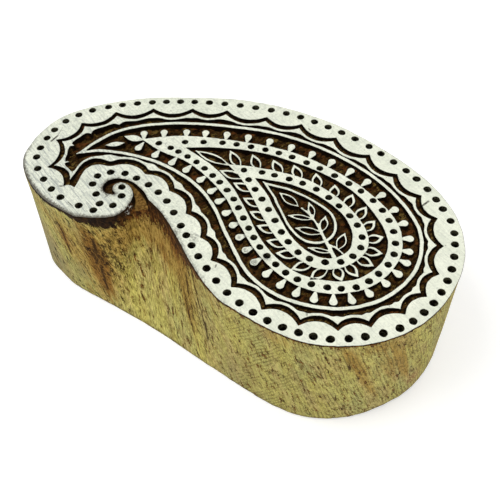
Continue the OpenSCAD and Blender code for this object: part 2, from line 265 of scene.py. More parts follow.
def cap(verts, rings, spots):
    """Triangles, seen from above, within rings at one height, with more points at the spots."""
    outlines = [np.array([verts[i][:2] for i in ring]) for ring in rings]
    height = verts[rings[0][0]][2]
    index, edges = [], []
    for ring in rings:
        edges += closed(put_in(index, ring))
    index += put_in(verts, spots)
    found, tris, origin = triangulated([verts[i][:2] for i in index], edges)
    made = {k: index[o] for k, o in enumerate(origin) if o >= 0}
    faces = []
    for t in tris[inside(found[tris].mean(axis=1), outlines)]:
        for k in t:
            if k not in made:
                made[k] = len(verts)
                verts.append((found[k][0], found[k][1], height))
        faces.append(tuple(made[k] for k in t))
    return faces


def mesh_object(name, verts, faces, materials, layers, kinds, rounded):
    """Object with a kind and shading for each face, and values at its points."""
    mesh = bpy.data.meshes.new(name)
    mesh.from_pydata([tuple(c * MM for c in v) for v in verts], [], [tuple(map(int, f)) for f in faces])
    for m in materials:
        mesh.materials.append(m)
    mesh.polygons.foreach_set("material_index", np.array(kinds, dtype=np.int32))
    mesh.polygons.foreach_set("use_smooth", np.array(rounded))
    for key, values in layers.items():
        layer = mesh.attributes.new(key, "FLOAT", "POINT")
        layer.data.foreach_set("value", np.array(values, dtype=np.float32))
    mesh.validate()
    mesh.update()
    obj = bpy.data.objects.new(name, mesh)
    bpy.context.scene.collection.objects.link(obj)
    return obj


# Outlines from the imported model

def triangles(name):
    """Welded corners and triangles of a node."""
    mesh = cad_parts[name].data
    co = np.round(np.array([v.co[:] for v in mesh.vertices]) / MM, 4)
    mesh.calc_loop_triangles()
    tri = np.array([t.vertices[:] for t in mesh.loop_triangles])
    points, index = np.unique(co, axis=0, return_inverse=True)
    return points, index.reshape(-1)[tri]


def chained(pairs):
    """Closed rings of indices from directed pairs."""
    after = {}
    for a, b in pairs:
        after.setdefault(a, []).append(b)
    rings = []
    while after:
        first = here = next(iter(after))
        ring = [first]
        while True:
            ways = after[here]
            there = ways.pop()
            if not ways:
                del after[here]
            if there == first or there not in after:
                break
            ring.append(there)
            here = there
        if len(ring) > 2:
            rings.append(ring)
    return rings


def face_loops(name, z):
    """Outlines of a node's flat faces at height z, with the face on the left of each."""
    points, tri = triangles(name)
    flat = tri[np.all(np.abs(points[tri][:, :, 2] - z) < 0.01, axis=1)]
    a, b, c = (points[flat[:, k]] for k in range(3))
    up = np.cross(b - a, c - a)[:, 2]
    flat = np.where((up > 0)[:, None], flat, flat[:, ::-1])
    edges = {(int(t[k]), int(t[(k + 1) % 3])) for t in flat for k in range(3)}
    return [points[ring][:, :2] for ring in chained([e for e in edges if (e[1], e[0]) not in edges])]


def section(name, z):
    """Outline of a node cut at height z, anticlockwise."""
    points, tri = triangles(name)
    pairs = []
    place = {}
    for t in tri:
        ends = {}
        for a, b in closed(list(t)):
            rises = bool(points[b][2] > z)
            if rises != (points[a][2] > z):
                key = (min(a, b), max(a, b))
                f = (z - points[a][2]) / (points[b][2] - points[a][2])
                place[key] = points[a] + (points[b] - points[a]) * f
                ends[rises] = key
        if ends:
            pairs.append((ends[False], ends[True]))
    rings = [np.array([place[k][:2] for k in ring]) for ring in chained(pairs)]
    ring = max(rings, key=lambda r: abs(area(r)))
    return ring if area(ring) > 0 else ring[::-1]


def curve(q, first, last, spacing, fewest):
    """Even steps on a smooth curve through q, without its end. first and last lead in and out."""
    chord = np.linalg.norm(np.diff(q, axis=0), axis=1)
    longer = np.vstack([first, q, last])
    step = np.linalg.norm(np.diff(longer, axis=0), axis=1)
    slope = np.diff(longer, axis=0) / step[:, None]
    w = step[1:] / (step[1:] + step[:-1])
    tangent = slope[:-1] * w[:, None] + slope[1:] * (1 - w)[:, None]
    total = chord.sum()
    count = max(fewest, int(round(total / spacing)))
    at = np.concatenate([[0], np.cumsum(chord)])
    out = []
    for s in np.linspace(0, total, count, endpoint=False):
        k = min(np.searchsorted(at, s, side="right") - 1, len(chord) - 1)
        h = chord[k]
        t = (s - at[k]) / h
        out.append(
            q[k] * (1 + 2 * t) * (1 - t) ** 2 + tangent[k] * h * t * (1 - t) ** 2
            + q[k + 1] * t * t * (3 - 2 * t) - tangent[k + 1] * h * t * t * (1 - t))
    return out


def smooth(loop, spacing):
    """Loop drawn as smooth curves between its sharp corners, with even steps."""
    keep = [0]
    for i in range(1, len(loop)):
        if np.linalg.norm(loop[i] - loop[keep[-1]]) > SHORTEST_STEP:
            keep.append(i)
    p = loop[keep]
    if np.linalg.norm(p[-1] - p[0]) < SHORTEST_STEP:
        p = p[:-1]
    n = len(p)
    before = p - np.roll(p, 1, axis=0)
    after = np.roll(before, -1, axis=0)
    cross = before[:, 0] * after[:, 1] - before[:, 1] * after[:, 0]
    turn = np.abs(np.degrees(np.arctan2(cross, np.sum(before * after, axis=1))))
    corners = [i for i in range(n) if turn[i] > SHARP_TURN]
    no_corner = not corners
    if no_corner:
        corners = [0]
    out = []
    for c, start in enumerate(corners):
        end = corners[(c + 1) % len(corners)]
        count = (end - start) % n or n
        q = p[[(start + k) % n for k in range(count + 1)]]
        if no_corner:
            first, last = p[(start - 1) % n], p[(end + 1) % n]
        else:
            first, last = 2 * q[0] - q[1], 2 * q[-1] - q[-2]
        out += curve(q, first, last, spacing, 2 if len(corners) > 1 else 8)
    return np.array(out)


def wobble(points):
    """The carver's hand: a small smooth shift that is the same for wood and coat."""
    moved = []
    for x, y in points:
        slow = noise.noise_vector(Vector((x / 3.2, y / 3.2, 4.0)))
        fast = noise.noise_vector(Vector((x / 0.9, y / 0.9, 9.0)))
        moved.append((x + 0.10 * slow.x + 0.07 * fast.x, y + 0.10 * slow.y + 0.07 * fast.y))
    return np.clip(np.array(moved), LOW, HIGH)


def swell(loop):
    """The outer edge, up to 1 mm fuller at the corner left of the curl."""
    fuller = [hill(math.dist(p, FULL_CORNER), 0, 8) for p in loop]
    return np.clip(loop + np.outer(fuller, FULL_WAY), LOW, HIGH)


def is_dot(loop):
    """Whether a loop is a drilled dot: a round hole of the right size."""
    size = -area(loop)
    fits = DOT_LEAST_AREA < size < DOT_MOST_AREA
    return fits and 4 * math.pi * size / steps(loop).sum() ** 2 > DOT_ROUNDNESS


def drilled(loop):
    """A drilled dot's edge, a little out of round."""
    c = loop.mean(axis=0)
    r = math.sqrt(-area(loop) / math.pi)
    seed = Vector((c[0] * 3.1, c[1] * 3.1, 2.0))
    ring = []
    for k in range(DOT_SIDES):
        a = -2 * math.pi * k / DOT_SIDES
        v = Vector((math.cos(a), math.sin(a), 0))
        ring.append(c + r * (1.04 + 0.09 * noise.noise(seed + v * 0.8)) * np.array(v[:2]))
    return np.array(ring)


# Marks on the side. A place is the way round from x = 0 in front, to the right.

# Place and depth of the dark band below the face: stain with painted shade under the curl and along the notch,
# a thin painted shadow under the coat's edge elsewhere
STAIN_AND_SHADE = [
    (-70, 0.8), (-50, 1.2), (-40, 1.6), (-35, 2.3), (-32, 4.4), (-28, 6.4), (-24, 6.6), (-20, 7.5),
    (-16, 9.0), (-10, 8.5), (-4, 9.5), (2, 7.0), (7, 2.6), (12, 1.1), (30, 0.9), (70, 1.0), (85, 0.8),
]
# Place, height, half width, half height, lean and strength of each mark
MARKS = {
    "warm": [
        (-32, 21, 2.2, 14, 0.05, 1.0), (-29.5, 14, 1.6, 10, 0.05, 0.8), (-36, 31, 1.4, 7, 0.15, 0.5),
        (-41.5, 26, 1.2, 7, 0.1, 0.95), (-47, 33, 2, 4, 0.3, 0.4), (-18, 36, 5, 3, 0, 0.7),
        (-6, 33, 5, 4, 0.4, 0.75), (1, 18, 2, 7, 0.3, 0.5), (-37, 4, 1.6, 6, 0.1, 0.5),
        (-10, 27, 2, 4, 0.9, 0.5), (104, 23, 1.6, 12, -0.2, 0.7), (152, 20, 1.4, 14, -0.25, 0.7),
        (186, 28, 1.8, 9, -0.2, 0.8),
    ],
    "orange": [
        (-31, 20, 6, 22, 0.05, 0.9), (-41, 24, 4, 12, 0.1, 0.6), (-24, 30, 5, 6, 0.2, 0.6),
        (-15, 31, 7, 6, 0.4, 1.0), (-4, 31, 8, 8, 0.3, 0.9), (2, 18, 5, 11, 0.3, 0.5),
        (51.5, 31, 1.8, 7, 0.42, 0.9), (56, 18, 1.3, 9, 0.42, 0.65), (66, 22, 1.3, 11, 0.35, 0.7),
        (63, 26, 7, 14, 0.2, 0.55), (10, 35, 6, 4, 0, 0.4), (32, 37, 8, 3, 0, 0.4), (56, 37, 6, 3, 0, 0.5),
        (-50, 34, 5, 6, 0.2, 0.5), (103, 22, 4, 16, -0.2, 0.7), (128, 34, 8, 5, 0, 0.5),
        (151, 20, 4, 17, -0.25, 0.7), (170, 12, 4, 10, -0.2, 0.5), (187, 26, 5, 14, -0.2, 0.8),
    ],
    "yellow": [
        (-18, 23, 6, 5, 0.2, 0.8), (-10, 20, 5, 6, 0.2, 0.7), (-25, 14, 4, 9, 0.1, 0.6),
        (92, 16, 8, 12, 0, 0.3), (118, 20, 10, 14, 0, 0.4), (168, 26, 9, 11, 0, 0.4),
    ],
    # Greyer, darker patches low on the side; under the curl at the front left they are painted shade
    "grey_and_shade": [
        (-52, 9, 9, 14, 0.3, 1.0), (-62, 20, 8, 24, 0, 0.9), (-38, 12, 3, 6, 0, 0.7), (20, 12, 8, 8, 0, 0.4),
        (136, 10, 9, 10, 0, 0.6), (200, 10, 9, 12, 0, 0.6),
    ],
    "pitted": [
        (-26, 23, 5, 9, 0.1, 1.0), (-31, 22, 3, 14, 0.05, 0.8), (-43, 30, 5, 6, 0.2, 0.7),
        (2, 22, 7, 12, 0.2, 0.8), (52, 30, 3, 7, 0.4, 0.6), (30, 15, 14, 12, 0, 0.3),
        (104, 22, 6, 14, -0.2, 0.8), (152, 20, 6, 14, -0.2, 0.8), (187, 25, 7, 12, -0.2, 0.9),
    ],
}


def girth(ring):
    """Way round the side: left end, front, right end, back. It is 0 at x = 0 in front."""
    n = len(ring)
    left = int(np.argmin(ring[:, 0]))
    order = [(left + k) % n for k in range(n)]
    out = np.zeros(n)
    out[order] = np.concatenate([[0], np.cumsum(steps(ring)[order])[:-1]])
    middle = min((i for i in range(n) if ring[i][1] < 0), key=lambda i: abs(ring[i][0]))
    return out - out[middle]


def marked(marks, along, z, around):
    """Strength of a list of marks at a place on the side."""
    total = 0.0
    for at, up, half, tall, lean, strength in marks:
        way = (along - at + around / 2) % around - around / 2
        total += strength * hill(way + lean * (z - up), 0, half) * hill(z, up, tall)
    return min(1.0, total)


def stain_and_shade_at(along, z):
    """Dark band below the face, deep under the curl and along the notch, where it is stain with painted shade;
    elsewhere a thin painted shadow under the coat's edge.
    """
    high = float(np.interp(along, *zip(*STAIN_AND_SHADE)))
    return max(0.0, 1 - (FACE_Z - z) / high)


def side_layers(rows, verts, along, around):
    """Values on the side for its material. The grain goes round a circle, to meet itself."""
    end = along.max()
    radius = around / (2 * math.pi)
    layers = {key: np.zeros(len(verts)) for key in ["along", "round_x", "round_y", "stain_with_shade", "ruled", *MARKS]}
    for row in rows:
        for v, at in zip(row, along):
            z = verts[v][2]
            lean = 0.3 * (1 - step_up(at, 75, 145) + step_up(at, 150, end))
            turn = (at - lean * (FACE_Z - z)) / around * 2 * math.pi
            layers["along"][v] = at
            layers["round_x"][v] = radius * math.cos(turn)
            layers["round_y"][v] = radius * math.sin(turn)
            layers["stain_with_shade"][v] = stain_and_shade_at(at, z)
            layers["ruled"][v] = step_up(at, 5, 25) * (1 - step_up(at, end - 60, end - 20))
            for key, marks in MARKS.items():
                layers[key][v] = marked(marks, at, z, around)
    return layers


# The carved wood

class Face:
    """Points and edges of the carved face, before it is triangulated.

    A point's floor is 0 on a ridge, up to 1 on open ground and below 0 in a dot. The carved wood paints shade
    by it: black where it is near 0 or below.
    """

    def __init__(self):
        self.points = []
        self.heights = []
        self.floors = []
        self.edges = []

    def add(self, points, heights, floors):
        """Put in points, and give their numbers."""
        self.heights += heights
        self.floors += floors
        return put_in(self.points, [tuple(p) for p in points])

    def ring(self, loop, floor):
        """Put in the edge of a ridge or a dot."""
        numbers = self.add(loop, [RIDGE_Z] * len(loop), [floor] * len(loop))
        self.edges += closed(numbers)
        return numbers


def cut_depth(tree, p):
    """Depth of the ground at a point: a chisel goes deeper in a wider cut."""
    at = Vector((p[0], p[1], 0))
    width = SIGHT
    for k in range(4):
        way = Vector((math.cos(math.pi * k / 4), math.sin(math.pi * k / 4), 0))
        hits = [tree.ray_cast(at, w, SIGHT)[3] for w in (way, -way)]
        width = min(width, sum(SIGHT if h is None else h for h in hits))
    return min(DEEPEST, SHALLOWEST + DEPTH_PER_WIDTH * width)


def run_out(p, mouth):
    """How much deeper the slot gets towards its mouth."""
    return SLOT_DROP * max(0.0, 1 - np.linalg.norm(np.array(p[:2]) - mouth) / SLOT_LONG) ** 1.5


def add_rim(face, rim, on_saw):
    """The rim and a line across the slot's mouth. Gives the block's edge and the mouth's middle."""
    numbers = face.ring(rim, 0.0)
    mouth_end = next(i for i in numbers if on_saw[i] and not on_saw[i - 1])
    outer = [i for i in numbers[mouth_end:] + numbers[:mouth_end] if on_saw[i]]
    a, b = rim[outer[-1]], rim[outer[0]]
    count = int(np.linalg.norm(b - a) / RIM_STEP)
    line = [a + (b - a) * k / count for k in range(1, count)]
    mouth = face.add(line, [SLOT_Z] * len(line), [0.4] * len(line))
    chain = [outer[-1]] + mouth + [outer[0]]
    face.edges += list(zip(chain[:-1], chain[1:]))
    return outer + mouth, (a + b) / 2


def add_feet(face, loops, tree, close, domain, mouth):
    """The feet of the ridges' walls, which lean out where there is room."""
    feet = []
    for loop in loops:
        ways = normals(loop)
        for p, w, free in zip(loop, ways, room(tree, loop, ways, 8.0)):
            lean = 0.2 + 0.09 * uneven(p[0] / 1.1, p[1] / 1.1, 3.0)
            out = min(lean, 0.42 * free)
            q = p + w * out
            if distance(close, q) > 0.55 * out:
                rough = 0.12 * uneven(p[0] / 1.6, p[1] / 1.6, 6.0)
                feet.append((q[0], q[1], FACE_Z - cut_depth(tree, q) - rough - run_out(q, mouth)))
    feet = np.array(feet)
    feet = feet[inside(feet[:, :2], [domain]) & (near_line(feet[:, :2], domain) > 0.12)]
    face.add(feet[:, :2], list(feet[:, 2]), [0.12] * len(feet))


def add_ground(face, loops, tree, close, domain, mouth):
    """The chiselled ground between the ridges, with slanting marks."""
    margin = 0.3
    clear = 0.36
    spots = []
    y = LOW[1] + margin
    while y < HIGH[1]:
        x = LOW[0] + margin
        while x < HIGH[0]:
            spots.append(scattered(x, y, GROUND_SCATTER))
            x += GROUND_STEP
        y += GROUND_STEP
    spots = np.array(spots)
    spots = spots[inside(spots, [domain]) & ~inside(spots, loops) & (near_line(spots, domain) > margin)]
    for q in spots:
        gap = distance(close, q)
        if gap > clear:
            across, along = 0.5 * q[0] + 0.87 * q[1], 0.87 * q[0] - 0.5 * q[1]
            wide = uneven(along / 1.1, across / 3.2, 1.0)
            fine = uneven(along / 0.6, across / 1.2, 5.0)
            height = FACE_Z - cut_depth(tree, q) * (1 - 0.16 * wide - 0.12 * fine) - run_out(q, mouth)
            face.add([q], [height], [min(1.0, 0.35 + (gap - clear) * 2)])


def add_dots(face, dots):
    """The bottoms of the drilled dots."""
    for loop in dots:
        middle = loop.mean(axis=0)
        face.add(middle + (loop - middle) * 0.86, [DOT_Z + 0.3] * len(loop), [-1.0] * len(loop))
        face.add([middle], [DOT_Z], [-1.0])


def lower_edge(ring, back):
    """The lower edge and its outward ways: straight below the notch, hollow in front, tapered at the right."""
    on_back = near_line(ring, back) < 0.14
    count = len(ring)
    foot = ring.copy()
    start = next(i for i in range(count) if not on_back[i] and on_back[i - 1])
    run = [start]
    while not on_back[(run[-1] + 1) % count]:
        run.append((run[-1] + 1) % count)
    p0, p1 = ring[start - 1], ring[(run[-1] + 1) % count]
    way = np.concatenate([[0], np.cumsum(np.linalg.norm(np.diff(ring[run], axis=0), axis=1))])
    for k, i in enumerate(run):
        foot[i] = p0 + (p1 - p0) * (way[k] + 0.5) / (way[-1] + 1)
    outward = normals(foot)
    for i in range(count):
        hollow = 0.9 * hill(foot[i][0], -14, 16) if foot[i][1] < 0 else 0.0
        taper = 0.9 * hill(foot[i][0], 58, 9) * hill(foot[i][1], -20, 14)
        foot[i] = foot[i] - outward[i] * (hollow + taper)
    return foot, outward


def sunk(p, z):
    """How far in the side lies, from the saw's waves and the rounded lower edge."""
    depth = 0.10 + 0.12 * uneven(p[0] / 9, p[1] / 9, z / 22)
    depth += 0.05 * uneven(p[0] / 2.2, p[1] / 2.2, z / 7)
    depth *= min(1.0, (FACE_Z - z) / 3)
    if z < EDGE_ROUND:
        depth += 0.5 * (1 - math.sqrt(1 - (EDGE_ROUND - z) ** 2))
    return max(0.0, depth)


def shoulder(p, z):
    """How much fuller the side is left of the curl."""
    out = 0.5 * hill(math.dist(p, FULL_SHOULDER), 0, 9) * min(1.0, (FACE_Z - z) / 2.5)
    return out + 0.9 * hill(math.dist(p, FULL_BASE), 0, 4.5) * max(0.0, 1 - z / 30)


def side_rows(ring, tops, foot, foot_out):
    """Rows of points up the sides, from the back to just below the face."""
    levels = [0, 0.12, 0.45, EDGE_ROUND] + list(np.linspace(2.4, KNEE_Z - 1.2, 24))
    levels += list(np.linspace(KNEE_Z, RIDGE_Z - 0.7, 6))
    ring_out = normals(ring)
    rows = []
    for level in levels:
        share = min(1.0, level / KNEE_Z)
        row = []
        for top, upper, upper_out, lower, lower_out in zip(tops, ring, ring_out, foot, foot_out):
            z = level
            if level > KNEE_Z:
                z = KNEE_Z + (level - KNEE_Z) * (top - KNEE_Z) / (RIDGE_Z - KNEE_Z)
            p = lower + (upper - lower) * share
            way = lower_out * (1 - share) + upper_out * share
            p = np.clip(p + way * (shoulder(p, z) - sunk(p, z)), LOW, HIGH)
            row.append((p[0], p[1], z))
        rows.append(row)
    return rows


def carved_face(rim, on_saw, ridges, dots):
    """The face with its ridges, ground and dots, and its points round the block."""
    face = Face()
    boundary, mouth = add_rim(face, rim, on_saw)
    for loop in ridges + dots:
        face.ring(loop, -0.6 if is_dot(loop) else 0.0)
    loops = [rim] + ridges
    domain = np.array([face.points[i] for i in boundary])
    tree = walls(loops)
    close = lookup(np.vstack([filled(l, 2) for l in loops]))
    add_feet(face, loops, tree, close, domain, mouth)
    add_ground(face, loops, tree, close, domain, mouth)
    add_dots(face, dots)
    return face, boundary


def build_block(materials):
    """The carved wood: face, sides and back. Gives the edges of its ridges and dots too."""
    top = face_loops("carved_block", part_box("carved_block")[1].z / MM)
    outer = max(top, key=area)
    dots = [wobble(drilled(l)) for l in top if is_dot(l)]
    ridges = [wobble(smooth(l, RIDGE_STEP)) for l in top if l is not outer and not is_dot(l)]
    rim = smooth(outer, RIM_STEP)
    on_saw = near_line(rim, section("carved_block", KNEE_Z + 0.6)) < 0.05
    rim = wobble(swell(rim))
    back = wobble(swell(smooth(section("carved_block", 0.05), BACK_STEP)))

    face, boundary = carved_face(rim, on_saw, ridges, dots)
    flat, tris, origin = triangulated(face.points, face.edges)
    made = {o: i for i, o in enumerate(origin) if o >= 0}
    verts = [(p[0], p[1], face.heights[o] if o >= 0 else RIDGE_Z) for p, o in zip(flat, origin)]
    floors = [face.floors[o] if o >= 0 else 0.0 for o in origin]
    faces = [tuple(t) for t in tris]
    kinds = [CARVED] * len(faces)

    ring = np.array([face.points[i] for i in boundary])
    foot, foot_out = lower_edge(ring, back)
    tops = [face.heights[i] for i in boundary]
    rows = [put_in(verts, row) for row in side_rows(ring, tops, foot, foot_out)]
    rows.append([made[i] for i in boundary])
    for low, high in zip(rows[:-1], rows[1:]):
        faces += band(low, high)
    kinds += [SIDE] * (len(faces) - len(kinds))

    faces += [t[::-1] for t in cap(verts, [rows[0]], [])]
    kinds += [BACK] * (len(faces) - len(kinds))
    layers = side_layers(rows, verts, girth(foot), steps(foot).sum())
    layers["floor"] = floors + [0.0] * (len(verts) - len(floors))
    rounded = [kind == SIDE for kind in kinds]
    obj = mesh_object("carved_wood", verts, faces, materials, layers, kinds, rounded)
    return obj, [rim] + ridges, dots


# The coat

def drawn_in(loop, ways, depth):
    """Loop moved along its ways, less where that would turn an edge round."""
    edge = np.roll(loop, -1, axis=0) - loop
    for _ in range(8):
        ring = loop + ways * depth[:, None]
        kept = np.sum((np.roll(ring, -1, axis=0) - ring) * edge, axis=1) > 0.2 * np.sum(edge * edge, axis=1)
        if kept.all():
            break
        depth = np.where(kept & np.roll(kept, 1), depth, depth * 0.5)
    return ring


def narrow(close, loop, start, i, way):
    """Distance across the coat from a point of a loop, or 0 where two walls all but meet."""
    least = SIGHT
    for place, k, gap in close.find_range((loop[i][0], loop[i][1], 0), 1.2):
        beside = start <= k < start + len(loop) and (k - start - i + 1) % len(loop) <= 2
        if not beside and gap < 0.3:
            least = 0.0
        elif not beside and np.dot(np.array(place[:2]) - loop[i], way) > 0.3 * gap:
            least = min(least, gap)
    return least


def edge_rings(loop, ways, most, share, thinner):
    """Rings of points up the edge of an island, rounded and worn at the top."""
    wear = np.array([COAT_WEAR * max(0.0, uneven(p[0] / 0.7, p[1] / 0.7, 7.0)) for p in loop])
    rings = []
    for z, inset, worn in COAT_EDGE:
        depth = np.minimum((inset + wear * worn) * share + thinner, most)
        rings.append([(x, y, z) for x, y in drawn_in(loop, ways, depth)])
    return rings


def brushed(outlines, close):
    """Points on the coat's top, which dips a little between brush strokes."""
    low = np.min([o.min(axis=0) for o in outlines], axis=0)
    high = np.max([o.max(axis=0) for o in outlines], axis=0)
    spots = np.array([
        scattered(x, y, BRUSH_SCATTER)
        for x in np.arange(low[0], high[0], BRUSH_STEP) for y in np.arange(low[1], high[1], BRUSH_STEP)])
    out = []
    for x, y in spots[inside(spots, outlines)]:
        if distance(close, (x, y)) > 0.45:
            dip = 0.03 + 0.03 * uneven(x / 3.0, y / 0.9, 2.0)
            out.append((x, y, FACE_Z - max(0.0, dip)))
    return out


def coat_wear(name, verts, rim, necks):
    """How worn the coat is: along the rim, at the scalloped line's tail and on bead necks."""
    worn = []
    for x, y, _ in verts:
        use = 0.42 + 0.6 * hill(x, -45, 28) * hill(y, -28, 18) + 0.3 * hill(x, 0, 25) * hill(y, -28, 12)
        worn.append(max(0.0, 1 - distance(rim, (x, y)) / 2.4) * use)
    if name == "scalloped_line_coat":
        worn = [max(w, 1.6 - 0.6 * math.dist(v[:2], SCALLOP_TAIL)) for w, v in zip(worn, verts)]
    if necks:
        joint = lookup(necks)
        for k, v in enumerate(verts):
            thin = 0.35 + 0.75 * hill(v[0], -5, 30) * hill(v[1], -15, 14)
            worn[k] = max(worn[k], thin * max(0.0, 1.3 - distance(joint, v) / 0.9))
    return worn


def build_coat(name, edges, rim, material):
    """One node's islands of coat. Their edges are worn, but not where they join another node."""
    outlines = face_loops(name, FACE_Z)
    dots = [is_dot(l) for l in outlines]
    loops = [drilled(l) if dot else smooth(l, RIDGE_STEP) for l, dot in zip(outlines, dots)]
    if name == "rim_coat":
        outer = max(range(len(loops)), key=lambda k: area(loops[k]))
        loops[outer] = swell(loops[outer])
    loops = [wobble(l) for l in loops]
    tree = walls(loops)
    close = lookup(np.vstack(loops))

    verts, faces, bottoms, tops, necks = [], [], [], [], []
    start = 0
    for loop, dot in zip(loops, dots):
        n = len(loop)
        ways = -normals(loop)
        free = room(tree, loop, ways, 4.0)
        across = np.array([narrow(close, loop, start, i, ways[i]) for i in range(n)])
        shared = np.array([distance(edges, p) > 0.16 for p in loop])
        if name == "bead_coats":
            necks += [p for p, s in zip(loop, shared) if s]
        most = np.where(shared, 0.0, np.minimum(0.3 * free, 0.3 * across))
        thinner = SPRIG_THINNER if name == "sprig_coat" else 0.0
        rings = edge_rings(loop, ways, most, DOT_WEAR if dot else 1.0, thinner)
        rings = [put_in(verts, ring) for ring in rings]
        for low, high in zip(rings[:-1], rings[1:]):
            faces += band(low, high)
        bottoms.append(rings[0])
        tops.append(rings[-1])
        start += n
    faces += [t[::-1] for t in cap(verts, bottoms, [])]
    faces += cap(verts, tops, brushed([np.array([verts[i][:2] for i in ring]) for ring in tops], close))
    layers = {"worn": coat_wear(name, verts, rim, necks)}
    kinds, rounded = [0] * len(faces), [False] * len(faces)
    return mesh_object(name.replace("coat", "skin"), verts, faces, [material], layers, kinds, rounded)


# Materials

class Nodes:
    """Nodes of a material or a world. A colour is three values of linear light."""

    def __init__(self, name, owners=bpy.data.materials, output="ShaderNodeOutputMaterial"):
        self.owner = owners.new(name)
        self.owner.use_nodes = True
        self.tree = self.owner.node_tree
        self.tree.nodes.clear()
        self.out = self.add(output)

    def add(self, kind, inputs=None, **settings):
        node = self.tree.nodes.new(kind)
        for key, value in settings.items():
            setattr(node, key, value)
        for key, value in (inputs or {}).items():
            self.put(node.inputs[key], value)
        return node

    def put(self, socket, value):
        if isinstance(value, bpy.types.NodeSocket):
            self.tree.links.new(value, socket)
        elif isinstance(value, bpy.types.Node):
            self.tree.links.new(value.outputs[0], socket)
        elif socket.type == "RGBA":
            socket.default_value = (*value, 1)
        else:
            socket.default_value = value

    def math(self, operation, a, b=0.0, c=0.0):
        return self.add("ShaderNodeMath", {0: a, 1: b, 2: c}, operation=operation).outputs[0]

    def times(self, a, b):
        return self.math("MULTIPLY", a, b)

    def plus(self, a, b):
        return self.math("ADD", a, b)

    def without(self, mask, share):
        """1, less by a share where the mask is."""
        return self.math("MULTIPLY_ADD", mask, -share, 1.0)

    def mix(self, share, a, b, blend="MIX"):
        settings = {"data_type": "RGBA", "blend_type": blend, "clamp_factor": True}
        return self.add("ShaderNodeMix", {0: share, 6: a, 7: b}, **settings).outputs[2]

    def lay(self, colour, mask, share, tint):
        """Colour with a share of a tint where the mask is."""
        return self.mix(self.times(mask, share), colour, tint)

    def ramp(self, value, low, high):
        """0 below low, 1 above high, smooth between."""
        inputs = {0: value, 1: low, 2: high, 3: 0.0, 4: 1.0}
        return self.add("ShaderNodeMapRange", inputs, interpolation_type="SMOOTHSTEP").outputs[0]

    def millimetres(self, stretch=(1, 1, 1), turn=0):
        """Place on the block, stretched along each axis and turned in plan, in degrees."""
        place = self.add("ShaderNodeTexCoord")
        node = self.add("ShaderNodeMapping", {
            "Vector": place.outputs["Object"],
            "Rotation": (0, 0, math.radians(turn)),
            "Scale": tuple(MM / s for s in stretch),
        }, vector_type="TEXTURE")
        return node.outputs[0]

    def noise(self, where, scale, detail=2.0, rough=0.5):
        return self.add("ShaderNodeTexNoise", {
            "Vector": where, "Scale": scale, "Detail": detail, "Roughness": rough}).outputs[0]

    def layer(self, name):
        """A mesh's values under a name."""
        return self.add("ShaderNodeAttribute", attribute_name=name).outputs["Fac"]

    def distance(self, where, place):
        return self.add("ShaderNodeVectorMath", {0: where, 1: place}, operation="DISTANCE").outputs["Value"]

    def near(self, where, place, far, close):
        """1 within close of a place, falling to 0 at far."""
        return self.ramp(self.distance(where, place), far, close)

    def slit(self, x, y, line, half):
        """1 on the line between two points, 0 at half its width away."""
        x0, y0, x1, y1 = line
        dx, dy = x1 - x0, y1 - y0
        size = math.hypot(dx, dy)
        px, py = self.math("SUBTRACT", x, x0), self.math("SUBTRACT", y, y0)
        t = self.plus(self.times(px, dx / size), self.times(py, dy / size))
        off = self.plus(self.times(px, dy / size), self.times(py, -dx / size))
        ends = self.times(self.ramp(t, -half, half), self.ramp(t, size + half, size - half))
        return self.times(self.ramp(self.math("ABSOLUTE", off), half, half * 0.3), ends)

    def surface(self, colour, roughness, bump, distance, specular):
        relief = self.add("ShaderNodeBump", {"Strength": 1.0, "Distance": distance, "Height": bump})
        shader = self.add("ShaderNodeBsdfPrincipled", {
            "Base Color": colour, "Roughness": roughness, "Normal": relief, "Specular IOR Level": specular})
        return self.finish(shader)

    def finish(self, shader):
        self.put(self.out.inputs[0], shader)
        return self.owner


class Side(Nodes):
    """Nodes of the sides, with places that are drawn out along the grain."""

    def __init__(self, name):
        super().__init__(name)
        self.plain = self.millimetres()
        self.z = self.add("ShaderNodeSeparateXYZ", {0: self.plain}).outputs[2]
        self.along = self.layer("along")
        self.round_x = self.layer("round_x")
        self.round_y = self.layer("round_y")
        self.ruled = self.layer("ruled")
        self.coarse = self.noise(self.grain(0.5), 1.1, 4, 0.7)
        fine = self.noise(self.grain(0.2), 2.8, 4, 0.8)
        self.fibre = self.plus(self.times(fine, 0.78), self.times(self.coarse, 0.22))

    def grain(self, stretch):
        up = self.times(self.z, stretch)
        return self.add("ShaderNodeCombineXYZ", {0: self.round_x, 1: self.round_y, 2: up}).outputs[0]

    def stripes(self, a, b, per_mm):
        """Fine slanting scratches, broken up by noise."""
        phase = self.plus(self.times(self.along, a * per_mm), self.times(self.z, b * per_mm))
        phase = self.plus(phase, self.times(self.noise(self.plain, 0.2, 2), 1.5))
        wave = self.math("SINE", self.times(phase, 2 * math.pi))
        broken = self.ramp(self.noise(self.plain, 0.35, 4, 0.75), 0.42, 0.56)
        return self.times(self.ramp(wave, 0.3, 0.9), broken)


